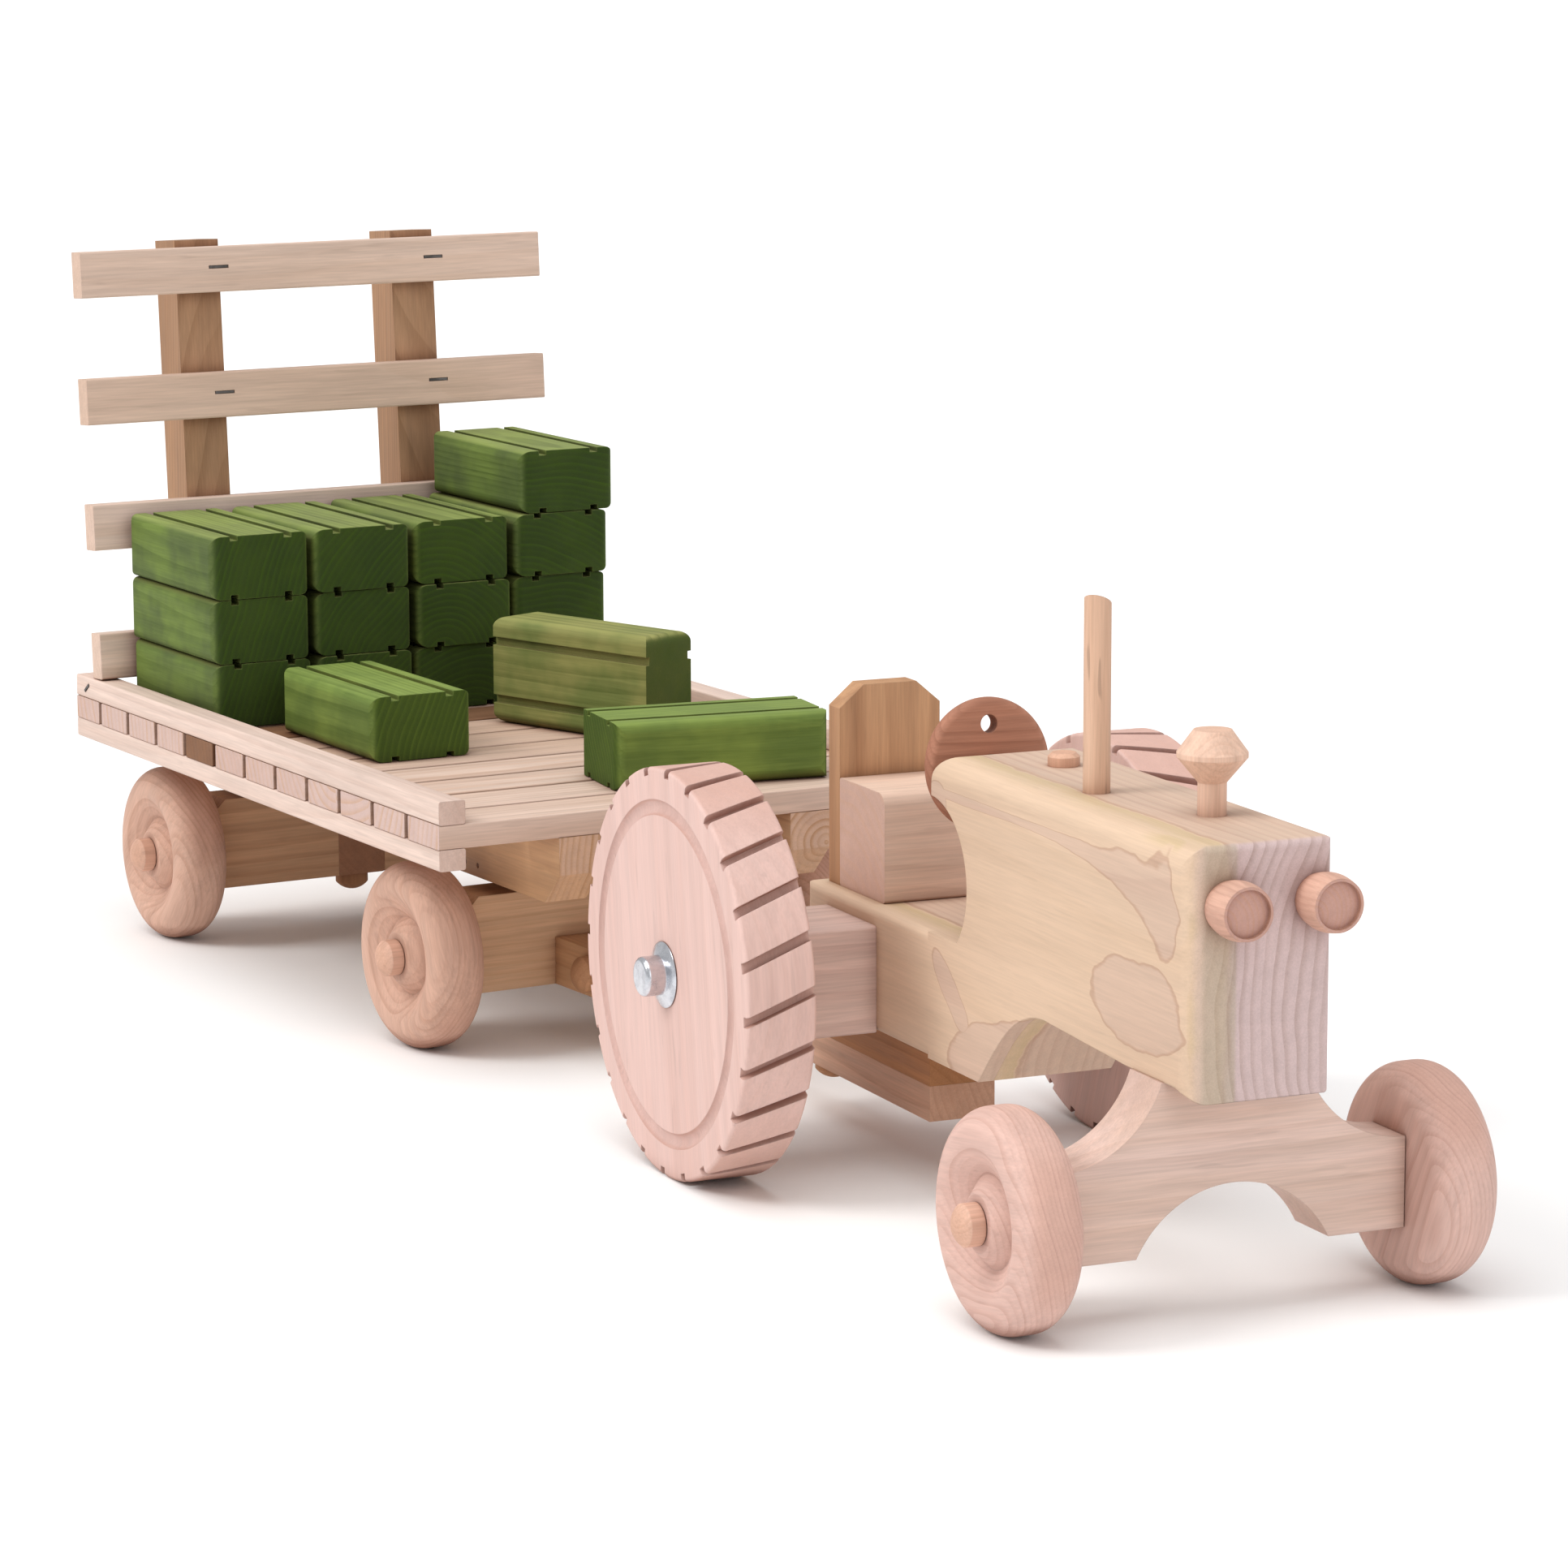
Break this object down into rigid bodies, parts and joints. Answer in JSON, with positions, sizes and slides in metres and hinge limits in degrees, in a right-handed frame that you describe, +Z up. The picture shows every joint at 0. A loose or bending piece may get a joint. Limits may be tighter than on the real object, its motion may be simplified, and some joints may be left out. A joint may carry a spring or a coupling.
{
  "type": "toy tractor with hay wagon",
  "caption": "Wooden toy farm tractor with a sculpted block body, big ridged rear wheels and a hitched slatted hay wagon with a tall rack and green block bales.",
  "frame": {"origin": "centre of the whole toy's footprint on the ground, tractor and wagon together", "axes": "+X towards the tractor's front, +Y to the tractor's left, +Z up"},
  "size_m": [0.7106, 0.2322, 0.2576],
  "materials": {
    "cream_poplar": "bare sanded, faint greenish and lilac streaks",
    "rosy_block": "bare sanded, warm rosy brown",
    "golden_board": "bare sanded, golden tan",
    "reddish_disc": "bare sanded, reddish brown",
    "dowel_wood": "bare sanded dowel, plain straight grain",
    "pale_maple": "bare sanded, pale pinkish cream, fine grain",
    "tan_beam": "bare sanded, tan with brown streaks",
    "dark_spacer": "bare sanded, dark brown",
    "peg_brown": "turned peg, smooth",
    "slat_mix": "bare sanded, tan and lilac boards",
    "slat_brown": "bare sanded heartwood, brown",
    "rack_pale": "bare sanded, pale cream",
    "stake_brown": "bare sanded, brown",
    "green_bale": "thin green stain over pale wood, darker end grain",
    "green_bale_streaked": "thin green stain with yellowish streaks",
    "zinc_steel": "bright zinc, worn",
    "staple_steel": "dull grey wire"
  },
  "bodies": {
    "tractor": {"tractor_body": "cream_poplar", "seat_block": "rosy_block", "seat_back": "golden_board", "seat_dowels": "dowel_wood", "steering_post": "dowel_wood", "exhaust_pipe": "dowel_wood", "air_cleaner": "pale_maple", "fuel_cap": "dowel_wood", "headlight_left": "pale_maple", "headlight_right": "pale_maple", "front_axle_beam": "tan_beam", "beam_dowels": "dowel_wood", "front_wheel_pegs": "peg_brown", "axle_block_left": "tan_beam", "axle_block_right": "tan_beam", "rear_axle_rod": "zinc_steel", "axle_caps": "zinc_steel", "hitch_spacer": "dark_spacer", "drawbar": "rosy_block", "drawbar_dowels": "dowel_wood", "hitch_peg": "peg_brown"},
    "steering_wheel": {"steering_wheel": "reddish_disc"},
    "front_wheel_left": {"front_wheel_left": "pale_maple"},
    "front_wheel_right": {"front_wheel_right": "pale_maple"},
    "rear_wheel_left": {"rear_wheel_left": "pale_maple"},
    "rear_wheel_right": {"rear_wheel_right": "pale_maple"},
    "tongue": {"tongue": "tan_beam"},
    "wagon_front_axle": {"tongue_peg": "peg_brown", "clevis_cheek_left": "tan_beam", "clevis_cheek_right": "tan_beam", "wagon_front_beam": "tan_beam", "wagon_front_pegs": "peg_brown"},
    "wagon_front_left_wheel": {"wagon_front_left_wheel": "pale_maple"},
    "wagon_front_right_wheel": {"wagon_front_right_wheel": "pale_maple"},
    "wagon_bed": {"kingpin": "peg_brown", "front_bolster": "tan_beam", "rear_bolster": "tan_beam", "sill_left": "tan_beam", "sill_right": "tan_beam", "wagon_rear_beam": "tan_beam", "rear_beam_insert": "rosy_block", "rear_beam_pin": "peg_brown", "wagon_rear_pegs": "peg_brown", "lower_rails": "pale_maple", "deck_slats": "slat_mix", "heartwood_slat": "slat_brown", "upper_rails": "pale_maple", "rack_stakes": "stake_brown", "rack_boards": "rack_pale", "staples": "staple_steel"},
    "wagon_rear_left_wheel": {"wagon_rear_left_wheel": "pale_maple"},
    "wagon_rear_right_wheel": {"wagon_rear_right_wheel": "pale_maple"},
    "bottom_row": {"bottom_row_bales": "green_bale"},
    "middle_row": {"middle_row_bales": "green_bale"},
    "top_row": {"top_row_bales": "green_bale"},
    "single_top_bale": {"single_top_bale": "green_bale"},
    "loose_bale_near": {"loose_bale_near": "green_bale_streaked"},
    "loose_bale_on_edge": {"loose_bale_on_edge": "green_bale_streaked"},
    "loose_bale_front": {"loose_bale_front": "green_bale"}
  },
  "joints": [
    {"name": "steering_wheel_spin", "type": "hinge", "parent": "tractor", "child": "steering_wheel", "pos_m": [0.1714, 0.02265, 0.1313], "axis": [-0.9962, 0, -0.0872], "continuous": true},
    {"name": "front_wheel_left_spin", "type": "hinge", "parent": "tractor", "child": "front_wheel_left", "pos_m": [0.3201, 0.08795, 0.0321], "axis": [0, 1, 0], "continuous": true},
    {"name": "front_wheel_right_spin", "type": "hinge", "parent": "tractor", "child": "front_wheel_right", "pos_m": [0.3201, -0.04265, 0.0321], "axis": [0, 1, 0], "continuous": true},
    {"name": "rear_wheel_left_spin", "type": "hinge", "parent": "tractor", "child": "rear_wheel_left", "pos_m": [0.1209, 0.09645, 0.064], "axis": [0, 1, 0], "continuous": true},
    {"name": "rear_wheel_right_spin", "type": "hinge", "parent": "tractor", "child": "rear_wheel_right", "pos_m": [0.1209, -0.05115, 0.064], "axis": [0, 1, 0], "continuous": true},
    {"name": "hitch_yaw", "type": "hinge", "parent": "tractor", "child": "tongue", "pos_m": [0.0589, 0.02265, 0.0348], "axis": [0, 0, 1], "range_deg": [-40, 25]},
    {"name": "tongue_pitch", "type": "hinge", "parent": "tongue", "child": "wagon_front_axle", "pos_m": [-0.05399, 0.00827, 0.0264], "axis": [-0.1264, 0.992, 0], "range_deg": [-8, 8]},
    {"name": "kingpin_yaw", "type": "hinge", "parent": "wagon_front_axle", "child": "wagon_bed", "pos_m": [-0.08931, 0.00377, 0.0438], "axis": [0, 0, 1], "range_deg": [-16, 16]},
    {"name": "wagon_front_left_wheel_spin", "type": "hinge", "parent": "wagon_front_axle", "child": "wagon_front_left_wheel", "pos_m": [-0.09853, 0.07618, 0.0321], "axis": [-0.1264, 0.992, 0], "continuous": true},
    {"name": "wagon_front_right_wheel_spin", "type": "hinge", "parent": "wagon_front_axle", "child": "wagon_front_right_wheel", "pos_m": [-0.08008, -0.06864, 0.0321], "axis": [-0.1264, 0.992, 0], "continuous": true},
    {"name": "wagon_rear_left_wheel_spin", "type": "hinge", "parent": "wagon_bed", "child": "wagon_rear_left_wheel", "pos_m": [-0.30662, 0.0554, 0.0321], "axis": [-0.0995, 0.995, 0], "continuous": true},
    {"name": "wagon_rear_right_wheel_spin", "type": "hinge", "parent": "wagon_bed", "child": "wagon_rear_right_wheel", "pos_m": [-0.2921, -0.08987, 0.0321], "axis": [-0.0995, 0.995, 0], "continuous": true},
    {"name": "bottom_row_lift", "type": "slide", "parent": "wagon_bed", "child": "bottom_row", "axis": [0, 0, 1], "range_m": [0, 0.12]},
    {"name": "middle_row_lift", "type": "slide", "parent": "bottom_row", "child": "middle_row", "axis": [0, 0, 1], "range_m": [0, 0.12]},
    {"name": "top_row_lift", "type": "slide", "parent": "middle_row", "child": "top_row", "axis": [0, 0, 1], "range_m": [0, 0.12]},
    {"name": "single_bale_lift", "type": "slide", "parent": "top_row", "child": "single_top_bale", "axis": [0, 0, 1], "range_m": [0, 0.12]},
    {"name": "loose_near_lift", "type": "slide", "parent": "wagon_bed", "child": "loose_bale_near", "axis": [0, 0, 1], "range_m": [0, 0.12]},
    {"name": "loose_edge_lift", "type": "slide", "parent": "wagon_bed", "child": "loose_bale_on_edge", "axis": [0, 0, 1], "range_m": [0, 0.12]},
    {"name": "loose_front_lift", "type": "slide", "parent": "wagon_bed", "child": "loose_bale_front", "axis": [0, 0, 1], "range_m": [0, 0.12]}
  ]
}
